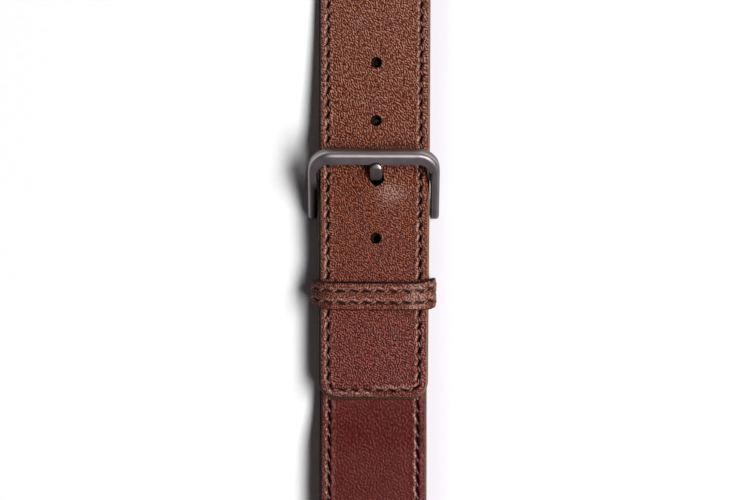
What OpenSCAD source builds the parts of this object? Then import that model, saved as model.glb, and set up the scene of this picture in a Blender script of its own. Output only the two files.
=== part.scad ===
/* [Strap] */
// Distance between the watch lugs that the strap fits
lug_width = 20; // [16:0.5:24]
// Gap between the leather and each lug
lug_gap = 0.1; // [0.05:0.05:0.4]
// Width of the leather at the buckle
strap_width = 19.4; // [15:0.1:23]
// Width of the leather at the tail's tip
tail_width = 19.06; // [14:0.1:23]
// Width of the short strap beside the buckle
short_width = 18.74; // [14:0.1:23]
// Distance from the buckle bar to the long strap's lug bar
long_reach = 84; // [70:1:100]
// Distance from the buckle bar to the short strap's lug bar
short_reach = 75; // [66:1:95]
// Length of the tail past the buckle bar
tail_reach = 32.5; // [26:0.5:36]
// Corner radius of the tail's tip
tip_corner = 3.2; // [2.2:0.1:6]
// Length over which the short strap widens to the lug
flare_run = 24; // [10:1:30]

/* [Leather] */
// Thickness of the upper leather
upper_t = 1.1; // [0.8:0.05:1.6]
// Thickness of the lining leather
lining_t = 0.9; // [0.6:0.05:1.4]
// Thickness of the filler along the short strap
short_filler_t = 0.4; // [0.2:0.05:1]
// Length over which the filler thickens towards a lug
pad_run = 34; // [20:1:40]
// Length of the upper that is turned under at each bar
turn_in = 9; // [6:0.5:14]
// Gap between a filler's end and the turned leather round the bar
filler_gap = 0.1; // [0.05:0.05:0.4]
// Gap between the two straps where they lie on each other
layer_gap = 0.2; // [0.1:0.05:0.5]

/* [Lie of the strap] */
// Length over which the tail climbs to the crest over the buckle bar
climb_run = 9; // [6:0.5:12]
// Length of the level crest past the buckle bar
crest_run = 3; // [0.5:0.5:5]
// Distance past the buckle bar where the long strap meets the table
landing = 50; // [40:1:58]
// How early the long strap comes down on the way there: 1 is even, less is earlier
landing_lean = 0.65; // [0.5:0.05:1]
// Height that the short strap gains past the tail, where it arches off the table
arch_rise = 1.8; // [0:0.1:2.4]
// Length over which it climbs to the arch
arch_climb = 9; // [6:0.5:12]
// Length of the arch's level top
arch_run = 5; // [1:0.5:8]
// Length of the short strap's end that lies on the table
end_run = 6; // [4:0.5:8]
// Length over which the short strap swells to its loop
neck_run = 5; // [3:0.5:8]

/* [Stitch grooves] */
// Distance from the leather's edge to the middle of a groove
groove_inset = 1.75; // [1.2:0.05:2.6]
// Width of a groove
groove_w = 0.6; // [0.3:0.05:1]
// Depth of a groove in the upper
groove_d = 0.3; // [0.1:0.05:0.6]
// Depth of a groove in the lining
lining_groove_d = 0.15; // [0.05:0.05:0.4]
// Distance from a bar's axis to the end of its grooves
groove_end = 3.6; // [2.6:0.2:8]

/* [Holes] */
// Diameter of an adjustment hole
hole_d = 1.6; // [1.2:0.1:2.4]
// Distance between neighbouring holes
hole_pitch = 10.2; // [6:0.1:12]
// Holes between the buckle and the lug
holes_above = 2; // [1:1:3]
// Holes between the buckle and the tip
holes_below = 1; // [0:1:2]
// Place of the hole in use, past the buckle bar
used_hole = 5.7; // [4.5:0.1:7]
// Sideways place of the holes and the tongue
hole_side = 0.35; // [-1:0.05:1]

/* [Keeper] */
// Length of the keeper along the strap
keeper_w = 4.5; // [3:0.1:8]
// Distance from the buckle bar to the keeper's middle
keeper_place = 14.5; // [13:0.5:20]
// Thickness of the keeper's outer leather
keeper_outer_t = 0.6; // [0.4:0.05:1]
// Thickness of the keeper's lining
keeper_lining_t = 0.4; // [0.3:0.05:0.8]
// Gap between the keeper and a strap's face
keeper_gap = 0.15; // [0.1:0.05:0.4]
// Gap between the keeper and the widest leather's edge
keeper_side_gap = 0.1; // [0.05:0.01:0.6]
// Corner radius inside the keeper
keeper_corner = 0.3; // [0.1:0.05:0.5]
// Growth of that radius for each millimetre of thickness, as the leather is drawn round
keeper_draw = 1.1; // [1:0.05:1.9]

/* [Buckle frame] */
// Gap between the leather and each arm
arm_gap = 0.28; // [0.15:0.01:0.8]
// Width of an arm
arm_w = 1.4; // [1.2:0.05:2.5]
// Thickness of the frame
frame_t = 2.2; // [1.8:0.1:3]
// Width of the outer bar
frame_bar_w = 2.2; // [1.8:0.1:4]
// Distance from the pivot to the outer bar's inner edge
frame_open = 10.33; // [9.6:0.1:13]
// Corner radius outside the frame
frame_corner = 3.9; // [2:0.1:5]
// Corner radius inside the frame
frame_inner_corner = 2.2; // [1:0.1:4]
// Corner radius of the relief that clears the strap under the frame's inner corners
relief_corner = 0.3; // [0.2:0.05:0.4]
// Height of that relief
relief_h = 1; // [0.9:0.05:1.2]
// Rounding of the frame's upper edges
bevel = 0.6; // [0.2:0.05:0.8]
// Gap between the outer bar and the strap below it
frame_rest_gap = 1.5; // [0.3:0.1:2]

/* [Tongue] */
// Width of the tongue
tongue_w = 2.26; // [1.6:0.1:3]
// Thickness of the tongue
tongue_t = 1.1; // [0.8:0.05:1.5]
// Wall of the tongue's eye round the bar
eye_wall = 0.55; // [0.4:0.05:0.9]
// Length of the tongue's tip inside the notch
tongue_lap = 0.55; // [0.4:0.05:1.6]
// Depth of the notch below the frame's upper face
notch_d = 0.7; // [0.4:0.05:1.1]
// Distance from the pivot to the start of the tongue's bend
tongue_bend = 5.5; // [3:0.5:7]
// Gap between the tongue's edge and its notch
notch_gap = 0.2; // [0.1:0.05:0.5]
// Height of the tongue above the notch's floor
tongue_rest_gap = 0.05; // [0.02:0.01:0.2]
// Gap between the tongue and each side of a slot
slot_side_gap = 0.2; // [0.1:0.05:0.5]
// Gap above the tongue in its slot
slot_over_gap = 0.6; // [0.3:0.05:0.9]
// Gap below the tongue in its slot
slot_under_gap = 0.3; // [0.2:0.05:0.7]

/* [Spring bars] */
// Diameter of a lug bar's tube
lug_bar_d = 1.8; // [1.5:0.1:2]
// Diameter of the buckle bar's tube
buckle_bar_d = 1.5; // [1.3:0.1:1.8]
// Wall of a tube
tube_wall = 0.22; // [0.18:0.01:0.3]
// Diameter of a pin's tip
tip_d = 0.75; // [0.7:0.05:1]
// Length of a lug bar's tips
lug_tip_l = 1; // [0.6:0.1:1.2]
// Depth of the buckle bar's tips below the arms' outer faces
tip_recess = 0.3; // [0.1:0.05:0.6]
// Travel of a pin into its tube
pin_travel = 1.25; // [1:0.05:1.8]
// Thickness of a pin's flange
flange_t = 0.45; // [0.3:0.05:0.8]
// Thickness of a tube's crimped lip
lip_t = 0.3; // [0.2:0.05:0.6]
// Length of a plunger inside its tube
plunger_l = 2.2; // [1.4:0.1:3]
// Depth of the shoulder between a plunger and its neck
shoulder = 0.1; // [0.1:0.01:0.14]
// Radial clearance of a sliding pin
slide_gap = 0.04; // [0.02:0.01:0.05]
// Radial clearance of the tongue's eye and the leather loops
turn_gap = 0.06; // [0.03:0.01:0.09]
// End clearance of a pin's flange and plunger
end_gap = 0.05; // [0.02:0.01:0.1]
// Diameter of the spring wire
wire_d = 0.18; // [0.14:0.01:0.22]
// Turns of each spring
spring_turns = 10; // [6:1:14]

/* [Hidden] */
$fn = 48;
leather = [0.50, 0.28, 0.22];
leather_dark = [0.40, 0.17, 0.14];
lining_tan = [0.45, 0.31, 0.22];
filler_grey = [0.42, 0.36, 0.31];
gunmetal = [0.42, 0.39, 0.41];
steel = [0.70, 0.70, 0.72];
eps = 0.01;
arc_steps = 10;
curve_steps = 10;
spring_rings = 8;
spring_sides = 6;

// Bores and outer radii of the leather turned round the bars
lug_bore_r = lug_bar_d / 2 + turn_gap;
lug_loop_r = lug_bore_r + upper_t;
bar_bore_r = buckle_bar_d / 2 + turn_gap;
bar_loop_r = bar_bore_r + upper_t;

// Heights: the keeper lies under the short strap, which carries the tail
thin_t = upper_t + lining_t;
short_t = thin_t + short_filler_t;
keeper_t = keeper_outer_t + keeper_lining_t;
lift = keeper_t + keeper_gap;
bar_z = lift + short_t / 2;
tail_z = lift + short_t + layer_gap;
crest_z = bar_z + bar_loop_r + layer_gap;
level_run = tail_reach + 1;
arch_start = level_run + arch_climb;
arch_end = arch_start + arch_run;
middle_y = (long_reach - short_reach) / 2;

// Half widths
lug_half = lug_width / 2 - lug_gap;
strap_half = strap_width / 2;
tail_half = tail_width / 2;
short_half = short_width / 2;
arm_inner = strap_half + arm_gap;
arm_outer = arm_inner + arm_w;
keeper_inner = max(strap_half, tail_half, short_half) + keeper_side_gap;

// Smooth steps, lists of places along y, and a closed side view between two curves
function ease(t) = let (s = min(1, max(0, t))) s * s * (3 - 2 * s);
function between(y, y0, z0, y1, z1) = z0 + (z1 - z0) * ease((y - y0) / (y1 - y0));
function steps(from, to, n) = [for (i = [0 : n]) from + (to - from) * i / n];
function sorted(v) = len(v) < 2 ? v : concat(
    sorted([for (x = v) if (x < v[0] - eps) x]), [v[0]], sorted([for (x = v) if (x > v[0] + eps) x]));
function window(ys, from, to) = concat([from], [for (y = ys) if (y > from + eps && y < to - eps) y], [to]);
function up_and_back(ys, low, high) =
    concat([for (y = ys) [y, low(y)]], [for (i = [len(ys) - 1 : -1 : 0]) [ys[i], high(ys[i])]]);
function stretch(low, y) = sqrt(1 + pow((low(y + eps) - low(y - eps)) / (2 * eps), 2));

// Side view of the long strap: heights along y from the tail's tip to the lug
long_low = function (y) y < 0 ? between(y, -climb_run, tail_z, 0, crest_z)
    : crest_z * (1 - ease(pow(max(0, y - crest_run) / (landing - crest_run), landing_lean)));
long_pad = function (y) between(y, long_reach - pad_run, 0, long_reach, 2 * lug_loop_r - thin_t);
long_lining_high = function (y) long_low(y) + lining_t * stretch(long_low, y);
long_upper_low = function (y) long_low(y) + (lining_t + long_pad(y)) * stretch(long_low, y);
long_high = function (y) long_low(y) + (thin_t + long_pad(y)) * stretch(long_low, y);
long_fill_start = long_reach - 0.9 * pad_run;
long_fill_end = long_reach - lug_loop_r - filler_gap;
long_ys = sorted(concat(
    [-tail_reach, long_fill_start, long_reach - turn_in, long_reach],
    steps(-climb_run, 0, curve_steps),
    [for (t = steps(0, 1, 16)) crest_run + (landing - crest_run) * pow(t, 1.4)],
    steps(long_reach - pad_run, long_fill_end, curve_steps)
));

// Side view of the short strap: heights along y from the lug to the buckle bar
short_low = function (y) y < -arch_end ? between(y, -short_reach + end_run, 0, -arch_end, lift + arch_rise)
    : y < -level_run ? between(y, -arch_start, lift + arch_rise, -level_run, lift)
                     : between(y, -neck_run, lift, 0, bar_z - bar_loop_r);
short_pad = function (y) y < -level_run
    ? between(y, -short_reach, 2 * lug_loop_r - thin_t, -short_reach + pad_run, short_filler_t)
    : between(y, -neck_run, short_filler_t, 0, 2 * bar_loop_r - thin_t);
short_lining_high = function (y) short_low(y) + lining_t;
short_upper_low = function (y) short_low(y) + lining_t + short_pad(y);
short_high = function (y) short_low(y) + thin_t + short_pad(y);
short_fill_start = -short_reach + lug_loop_r + filler_gap;
short_fill_end = -bar_loop_r - filler_gap;
short_ys = sorted(concat(
    [-short_reach, short_fill_start, -short_reach + turn_in, -turn_in, short_fill_end, 0],
    steps(-short_reach + end_run, -arch_end, 8),
    steps(-arch_start, -level_run, 8),
    steps(-neck_run, 0, curve_steps)
));

// Plan view of each strap's edge, drawn in by an inset
function long_half(y) = y < 0 ? strap_half - (strap_half - tail_half) * -y / tail_reach
    : lug_half - (lug_half - strap_half) * pow(1 - min(1, y / long_reach), 2);
function short_edge(y) = short_half
    + (lug_half - short_half) * ease((-y - short_reach + flare_run) / flare_run);
function mirrored(side) = concat(side, [for (i = [len(side) - 1 : -1 : 0]) [-side[i].x, side[i].y]]);
function long_outline(inset) =
    let (r = max(0.3, tip_corner - inset), cx = tail_half - inset - r, cy = -tail_reach + inset + r)
    mirrored(concat(
        [for (a = steps(-90, 0, arc_steps)) [cx + r * cos(a), cy + r * sin(a)]],
        [for (y = concat(steps(0, long_reach, curve_steps), [long_reach + 2 * lug_loop_r]))
            [long_half(y) - inset, y]]
    ));
function short_outline(inset) = mirrored([for (y = concat([-short_reach - 2 * lug_loop_r],
    steps(-short_reach, -short_reach + flare_run, curve_steps), [2 * bar_loop_r]))
    [short_edge(y) - inset, y]]);

// Buckle: distances along the frame from its pivot, and its tilt over the strap
frame_end = frame_open + frame_bar_w;
tongue_tip = frame_open + tongue_lap;
eye_r = bar_bore_r + eye_wall;
notch_floor = frame_t / 2 - notch_d;
tongue_high_v = notch_floor + tongue_rest_gap + tongue_t / 2;
function corner_y(a) = frame_open * cos(a) + frame_t / 2 * sin(a);
function resting_tilt(a, n) = n == 0 ? a : resting_tilt(asin((long_high(corner_y(a)) + frame_rest_gap
    + frame_t / 2 * cos(a) - bar_z) / frame_open), n - 1);
frame_tilt = resting_tilt(30, 8);
tongue_low = function (u) between(u, tongue_bend, 0, frame_open, tongue_high_v) - tongue_t / 2;
tongue_high = function (u) tongue_low(u) + tongue_t;
slot_low = function (u) tongue_low(u) - slot_under_gap;
slot_high = function (u) tongue_high(u) + slot_over_gap;
tongue_us = concat([0], steps(tongue_bend, frame_open, curve_steps), [tongue_tip]);

module placed() translate([0, -middle_y, 0]) children();
module sideways(w) rotate([90, 0, 90]) translate([0, 0, -w / 2]) linear_extrude(w) children();
module side_view(ys, low, high) sideways(2 * lug_width) polygon(up_and_back(ys, low, high));
module at_buckle_bar() translate([0, 0, bar_z]) children();
module in_frame() at_buckle_bar() rotate([frame_tilt, 0, 0]) children();
module at_long_lug() translate([0, long_reach, lug_loop_r]) children();
module at_short_lug() translate([0, -short_reach, lug_loop_r]) children();
module upright(h) linear_extrude(h) children();

// A strip along the leather's edge, as deep as a groove
module groove_strip(outer, inner) upright(4 * lug_loop_r + crest_z) difference() {
    polygon(outer);
    polygon(inner);
}

module long_grooves(ys, low, high) intersection() {
    side_view(ys, low, high);
    groove_strip(long_outline(groove_inset - groove_w / 2), long_outline(groove_inset + groove_w / 2));
}

module short_grooves(ys, low, high) intersection() {
    side_view(ys, low, high);
    groove_strip(short_outline(groove_inset - groove_w / 2), short_outline(groove_inset + groove_w / 2));
}

// Round holes square to the leather, and the slanted slot that the tongue has pulled
module strap_holes() {
    for (k = [-holes_below : holes_above]) if (k != 0) {
        y = used_hole + k * hole_pitch;
        slope = atan((long_low(y + eps) - long_low(y - eps)) / (2 * eps));
        translate([hole_side, y, long_low(y) + thin_t / 2]) rotate([slope, 0, 0])
            cylinder(h = 3 * thin_t, d = hole_d, center = true);
    }
    in_frame() translate([hole_side, 0, 0]) sideways(tongue_w + 2 * slot_side_gap)
        polygon(up_and_back(tongue_us, slot_low, slot_high));
}

module long_plan() upright(4 * lug_loop_r + crest_z) polygon(long_outline(0));
module short_plan() upright(4 * lug_loop_r + crest_z) polygon(short_outline(0));

module long_upper() color(leather) placed() difference() {
    intersection() {
        sideways(2 * lug_width) difference() {
            union() {
                polygon(up_and_back(long_ys, long_upper_low, long_high));
                translate([long_reach, lug_loop_r]) circle(lug_loop_r);
                polygon(up_and_back([long_reach - turn_in, long_reach], long_low, long_lining_high));
            }
            translate([long_reach, lug_loop_r]) circle(lug_bore_r);
        }
        long_plan();
    }
    long_grooves(window(long_ys, -tail_reach, long_reach - groove_end),
        function (y) long_high(y) - groove_d, function (y) long_high(y) + groove_d);
    strap_holes();
}

module long_lining() color(lining_tan) placed() difference() {
    intersection() {
        side_view(window(long_ys, -tail_reach, long_reach - turn_in), long_low, long_lining_high);
        long_plan();
    }
    long_grooves(window(long_ys, -tail_reach, long_reach - turn_in),
        function (y) long_low(y) - lining_groove_d, function (y) long_low(y) + lining_groove_d);
    strap_holes();
}

module long_filler() color(filler_grey) placed() intersection() {
    side_view(window(long_ys, long_fill_start, long_fill_end), long_lining_high, long_upper_low);
    long_plan();
}

// The short strap's loop is cut away where the tongue's eye turns
module eye_slot() translate([hole_side - tongue_w / 2 - 2 * slot_side_gap, -eye_r - slot_over_gap, 0])
    cube([tongue_w + 4 * slot_side_gap, 2 * (eye_r + bar_loop_r), crest_z + bar_loop_r]);

module short_upper() color(leather_dark) placed() difference() {
    intersection() {
        sideways(2 * lug_width) difference() {
            union() {
                polygon(up_and_back(short_ys, short_upper_low, short_high));
                translate([-short_reach, lug_loop_r]) circle(lug_loop_r);
                translate([0, bar_z]) circle(bar_loop_r);
                polygon(up_and_back(window(short_ys, -short_reach, -short_reach + turn_in),
                    short_low, short_lining_high));
                polygon(up_and_back(window(short_ys, -turn_in, 0), short_low, short_lining_high));
            }
            translate([-short_reach, lug_loop_r]) circle(lug_bore_r);
            translate([0, bar_z]) circle(bar_bore_r);
        }
        short_plan();
    }
    short_grooves(window(short_ys, -short_reach + groove_end, -groove_end),
        function (y) short_high(y) - groove_d, function (y) short_high(y) + groove_d);
    eye_slot();
}

module short_lining() color(lining_tan) placed() difference() {
    intersection() {
        side_view(window(short_ys, -short_reach + turn_in, -turn_in), short_low, short_lining_high);
        short_plan();
    }
    short_grooves(window(short_ys, -short_reach + turn_in, -turn_in),
        function (y) short_low(y) - lining_groove_d, function (y) short_low(y) + lining_groove_d);
}

module short_filler() color(filler_grey) placed() intersection() {
    side_view(window(short_ys, short_fill_start, short_fill_end), short_lining_high, short_upper_low);
    short_plan();
}

// A rounded loop section round both straps, let out by a thickness
module keeper_section(out) {
    x = keeper_inner + out;
    low = keeper_t - out;
    high = tail_z + thin_t + keeper_gap + out;
    r = keeper_corner + keeper_draw * out;
    translate([-x + r, low]) square([2 * (x - r), high - low]);
    translate([-x, low + r]) square([2 * x, high - low - 2 * r]);
    for (cx = [-x + r, x - r], cz = [low + r, high - r]) translate([cx, cz]) circle(r);
}

module keeper_band(out, inside) placed() translate([0, -keeper_place + keeper_w / 2, 0])
    rotate([90, 0, 0]) linear_extrude(keeper_w) difference() {
        keeper_section(out);
        keeper_section(inside);
    }

module keeper_outer() color(leather) keeper_band(keeper_t, keeper_lining_t);
module keeper_lining() color(lining_tan) keeper_band(keeper_lining_t, 0);

// Plan of the frame's outside and of its opening, drawn in by an inset
module frame_outline(inset) hull() {
    for (side = [-1, 1]) translate([side * (arm_outer - frame_corner), frame_end - frame_corner])
        circle(frame_corner - inset);
    translate([-arm_outer + inset, -frame_t]) square([2 * (arm_outer - inset), frame_t]);
}

module frame_opening(r) hull() {
    for (side = [-1, 1]) translate([side * (arm_inner - r), frame_open - r]) circle(r);
    translate([-arm_inner, -2 * frame_t]) square([2 * arm_inner, frame_t]);
}

module tongue_plan(grow) {
    r = tongue_w / 2 + grow;
    translate([hole_side, tongue_tip - tongue_w / 2]) circle(r);
    translate([hole_side - r, -2 * eye_r]) square([2 * r, tongue_tip - tongue_w / 2 + 2 * eye_r]);
}

module buckle_frame() color(gunmetal) placed() in_frame() difference() {
    intersection() {
        translate([0, 0, -frame_t / 2]) hull() {
            linear_extrude(frame_t - bevel) frame_outline(0);
            linear_extrude(frame_t - 0.29 * bevel) frame_outline(0.29 * bevel);
            linear_extrude(frame_t) frame_outline(bevel);
        }
        sideways(4 * arm_outer) union() {
            circle(frame_t / 2);
            translate([0, -frame_t / 2]) square([frame_end, frame_t]);
        }
    }
    translate([0, 0, -frame_t]) linear_extrude(2 * frame_t) frame_opening(frame_inner_corner);
    translate([0, 0, -frame_t]) linear_extrude(frame_t / 2 + relief_h) frame_opening(relief_corner);
    translate([0, 0, notch_floor]) linear_extrude(frame_t) tongue_plan(notch_gap);
    rotate([0, 90, 0]) cylinder(h = 4 * arm_outer, r = tip_d / 2 + turn_gap, center = true);
}

module tongue() color(gunmetal) placed() in_frame() intersection() {
    sideways(4 * arm_outer) difference() {
        union() {
            polygon(up_and_back(tongue_us, tongue_low, tongue_high));
            circle(eye_r);
        }
        circle(bar_bore_r);
    }
    translate([0, 0, -2 * frame_t]) linear_extrude(4 * frame_t) tongue_plan(0);
}

// Spring bars along x: bore, plunger and neck radii follow from the tube's diameter
function tube_half(face) = face - flange_t - pin_travel - end_gap;
function bore_r(d) = d / 2 - tube_wall;
function plunger_r(d) = bore_r(d) - slide_gap;
function neck_r(d) = plunger_r(d) - shoulder;
function plunger_out(face) = tube_half(face) - lip_t - end_gap;
function spring_half(face) = plunger_out(face) - plunger_l - end_gap;

module bar_tube(d, face) color(steel) rotate([0, 90, 0]) rotate_extrude() difference() {
    translate([0, -tube_half(face)]) square([d / 2, 2 * tube_half(face)]);
    translate([0, -tube_half(face) + lip_t]) square([bore_r(d), 2 * (tube_half(face) - lip_t)]);
    translate([0, -2 * face]) square([neck_r(d) + slide_gap, 4 * face]);
}

module bar_pin(d, face, tip_l) color(steel) rotate([0, 90, 0]) rotate_extrude() polygon([
    [0, plunger_out(face) - plunger_l], [plunger_r(d), plunger_out(face) - plunger_l],
    [plunger_r(d), plunger_out(face)], [neck_r(d), plunger_out(face)],
    [neck_r(d), face - flange_t], [d / 2 - shoulder, face - flange_t],
    [d / 2 - shoulder, face], [tip_d / 2, face],
    [tip_d / 2, face + tip_l - shoulder], [tip_d / 2 - shoulder, face + tip_l], [0, face + tip_l]
]);

// A wire tube along a helix, ring by ring, closed at both ends
function coil_points(r, half) = let (n = spring_turns * spring_rings) [for (i = [0 : n])
    [-half + 2 * half * i / n, r * cos(360 * i / spring_rings), r * sin(360 * i / spring_rings)]];
function coil_gap(points) = min([for (i = [0 : len(points) - 1 - spring_rings])
    norm(points[i + spring_rings] - points[i])]) - wire_d;
function ring(centre, along, r) =
    let (out = [0, centre.y, centre.z] / norm([0, centre.y, centre.z]), side = cross(along, out))
    [for (k = [0 : spring_sides - 1]) centre + r * (out * cos(360 * k / spring_sides)
        + side / norm(side) * sin(360 * k / spring_sides))];

module bar_spring(d, face) {
    points = coil_points(plunger_r(d) - wire_d / 2, spring_half(face) - wire_d / 2);
    last = len(points) - 1;
    echo(str("least gap in the spring of a ", d, " mm bar: ", coil_gap(points), " mm"));
    color(steel) polyhedron(
        [for (i = [0 : last]) each
            ring(points[i], points[min(last, i + 1)] - points[max(0, i - 1)], wire_d / 2)],
        concat(
            [for (k = [1 : spring_sides - 2]) [0, k + 1, k]],
            [for (i = [0 : last - 1], k = [0 : spring_sides - 1], half = [0, 1])
                let (a = i * spring_sides + k, b = i * spring_sides + (k + 1) % spring_sides,
                    c = a + spring_sides, e = b + spring_sides)
                half == 0 ? [a, b, e] : [a, e, c]],
            [for (k = [1 : spring_sides - 2])
                let (a = last * spring_sides) [a, a + k, a + k + 1]]
        )
    );
}

lug_face = lug_width / 2;
arm_face = arm_inner - end_gap;
arm_tip_l = arm_w + end_gap - tip_recess;

module buckle_bar_tube() placed() at_buckle_bar() bar_tube(buckle_bar_d, arm_face);
module buckle_bar_spring() placed() at_buckle_bar() bar_spring(buckle_bar_d, arm_face);
module buckle_bar_pin_right() placed() at_buckle_bar() bar_pin(buckle_bar_d, arm_face, arm_tip_l);
module buckle_bar_pin_left() placed() at_buckle_bar() mirror([1, 0, 0])
    bar_pin(buckle_bar_d, arm_face, arm_tip_l);
module long_bar_tube() placed() at_long_lug() bar_tube(lug_bar_d, lug_face);
module long_bar_spring() placed() at_long_lug() bar_spring(lug_bar_d, lug_face);
module long_bar_pin_right() placed() at_long_lug() bar_pin(lug_bar_d, lug_face, lug_tip_l);
module long_bar_pin_left() placed() at_long_lug() mirror([1, 0, 0])
    bar_pin(lug_bar_d, lug_face, lug_tip_l);
module short_bar_tube() placed() at_short_lug() bar_tube(lug_bar_d, lug_face);
module short_bar_spring() placed() at_short_lug() bar_spring(lug_bar_d, lug_face);
module short_bar_pin_right() placed() at_short_lug() bar_pin(lug_bar_d, lug_face, lug_tip_l);
module short_bar_pin_left() placed() at_short_lug() mirror([1, 0, 0])
    bar_pin(lug_bar_d, lug_face, lug_tip_l);

long_upper();
long_lining();
long_filler();
short_upper();
short_lining();
short_filler();
keeper_outer();
keeper_lining();
buckle_frame();
tongue();
buckle_bar_tube();
buckle_bar_spring();
buckle_bar_pin_left();
buckle_bar_pin_right();
long_bar_tube();
long_bar_spring();
long_bar_pin_left();
long_bar_pin_right();
short_bar_tube();
short_bar_spring();
short_bar_pin_left();
short_bar_pin_right();
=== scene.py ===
from math import ceil, copysign, cos, degrees, floor, pi, radians, sin, sqrt

import bmesh
import bpy
import numpy as np
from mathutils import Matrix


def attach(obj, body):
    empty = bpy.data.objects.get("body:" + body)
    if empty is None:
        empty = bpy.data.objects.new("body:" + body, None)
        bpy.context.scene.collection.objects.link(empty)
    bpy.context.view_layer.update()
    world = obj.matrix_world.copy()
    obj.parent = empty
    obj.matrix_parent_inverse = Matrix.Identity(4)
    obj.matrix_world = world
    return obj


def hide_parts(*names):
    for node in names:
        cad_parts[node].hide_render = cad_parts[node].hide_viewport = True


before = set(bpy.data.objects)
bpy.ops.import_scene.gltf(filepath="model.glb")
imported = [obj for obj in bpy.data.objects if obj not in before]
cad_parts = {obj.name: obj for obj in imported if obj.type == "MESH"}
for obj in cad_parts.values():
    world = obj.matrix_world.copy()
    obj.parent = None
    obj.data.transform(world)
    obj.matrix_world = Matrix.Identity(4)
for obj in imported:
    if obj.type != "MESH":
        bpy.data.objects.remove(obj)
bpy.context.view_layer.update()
scene = bpy.context.scene
mm = 0.001

# the strap's own sizes, in millimetres; y is counted from the buckle bar until middleY is taken off
form = dict(middleY=4.5, longReach=84, shortReach=75, tailReach=32.5, tipCorner=3.2, flareRun=24,
            upper=1.1, lining=0.9, shortFiller=0.4, padRun=34, turnIn=9,
            barZ=2.35, tailZ=3.75, crestZ=4.46, lift=1.15, climb=9, crest=3, landing=50, lean=0.65,
            levelRun=33.5, archClimb=9, archRun=5, archRise=1.8, endRun=6, neck=5,
            lugLoop=2.06, lugBore=0.96, barLoop=1.91, barBore=0.81,
            lugHalf=9.9, strapHalf=9.7, tailHalf=9.53, shortHalf=9.37, holeSide=0.35,
            holePitch=10.2, firstHole=5.7)
middleY, holeSide, lining, turnIn = form["middleY"], form["holeSide"], form["lining"], form["turnIn"]
barZ, barLoop, barBore = form["barZ"], form["barLoop"], form["barBore"]
lugLoop, lugBore = form["lugLoop"], form["lugBore"]
lugEnd, tailEnd, shortEnd = form["longReach"], -form["tailReach"], -form["shortReach"]
thin = form["upper"] + lining


def smooth(t):
    t = np.clip(t, 0, 1)
    return t * t * (3 - 2 * t)


def bell(t):
    return np.exp(-t ** 2)


def unit(rows):
    return rows / np.linalg.norm(rows, axis=1)[:, None]


def between(y, y0, z0, y1, z1):
    return z0 + (z1 - z0) * smooth((y - y0) / (y1 - y0))


def longLow(y):  # the long strap's lower face: over the buckle bar, then slowly down to the table
    far = np.clip((y - form["crest"]) / (form["landing"] - form["crest"]), 0, 1) ** form["lean"]
    return np.where(y < 0, between(y, -form["climb"], form["tailZ"], 0, form["crestZ"]),
                    form["crestZ"] * (1 - smooth(far)))


def longAbove(y, layers):  # the layers' thickness is taken square to the slope
    slope = (longLow(y + 0.01) - longLow(y - 0.01)) / 0.02
    return longLow(y) + layers * np.sqrt(1 + slope ** 2)


def longPad(y):
    return between(y, lugEnd - form["padRun"], 0, lugEnd, 2 * lugLoop - thin)


def shortLow(y):  # level under the tail, then a low arch, then down to the table
    level, low, start = -form["levelRun"], form["lift"], form["levelRun"] + form["archClimb"]
    high, far = low + form["archRise"], -start - form["archRun"]
    arch = np.where(y < far, between(y, shortEnd + form["endRun"], 0, far, high),
                    between(y, -start, high, level, low))
    return np.where(y < level, arch, between(y, -form["neck"], low, 0, barZ - barLoop))


def shortAbove(y, layers):
    return shortLow(y) + layers


def shortPad(y):
    low = form["shortFiller"]
    lug = between(y, shortEnd, 2 * lugLoop - thin, shortEnd + form["padRun"], low)
    return np.where(y < -form["levelRun"], lug, between(y, -form["neck"], low, 0, 2 * barLoop - thin))


def longHalf(y):
    tail = form["strapHalf"] - (form["strapHalf"] - form["tailHalf"]) * -y / form["tailReach"]
    body = form["lugHalf"] - (form["lugHalf"] - form["strapHalf"]) * (1 - np.minimum(1, y / lugEnd)) ** 2
    return np.where(y < 0, tail, body)


def shortHalf(y):
    flare = smooth((shortEnd - y + form["flareRun"]) / form["flareRun"])
    return form["shortHalf"] + (form["lugHalf"] - form["shortHalf"]) * flare


def ripple(x, y, seed):  # a slow, soft unevenness between -1 and 1
    a, b = x * 0.31 + seed, y * 0.23 - seed
    return (np.sin(a * 1.7 + np.sin(b * 2.1)) + np.sin(b * 2.9 + 1.3 * np.sin(a * 1.3 + seed))
            + 0.6 * np.sin(a * 3.1 - b * 4.3)) / 2.6


def ringFaces(one, two):  # between two closed rings of points
    n = len(one)
    return [[one[k], one[(k + 1) % n], two[(k + 1) % n], two[k]] for k in range(n)]


def tubeFaces(count, n, first=0, closed=False):  # along rings of n points each
    rings = [range(first + k * n, first + (k + 1) * n) for k in range(count)]
    return [face for one, two in zip(rings, rings[1:] + rings[:closed]) for face in ringFaces(one, two)]


def addObject(name, data):
    thing = bpy.data.objects.new(name, data)
    scene.collection.objects.link(thing)
    return thing


def shownMesh(thing):  # its mesh with the modifiers applied
    return bpy.data.meshes.new_from_object(thing.evaluated_get(bpy.context.evaluated_depsgraph_get()))


def addMarks(mesh, marks):  # masks that the materials read
    for key, values in marks.items():
        mesh.attributes.new(key, "FLOAT", "POINT").data.foreach_set("value", np.asarray(values, np.float32))


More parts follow.
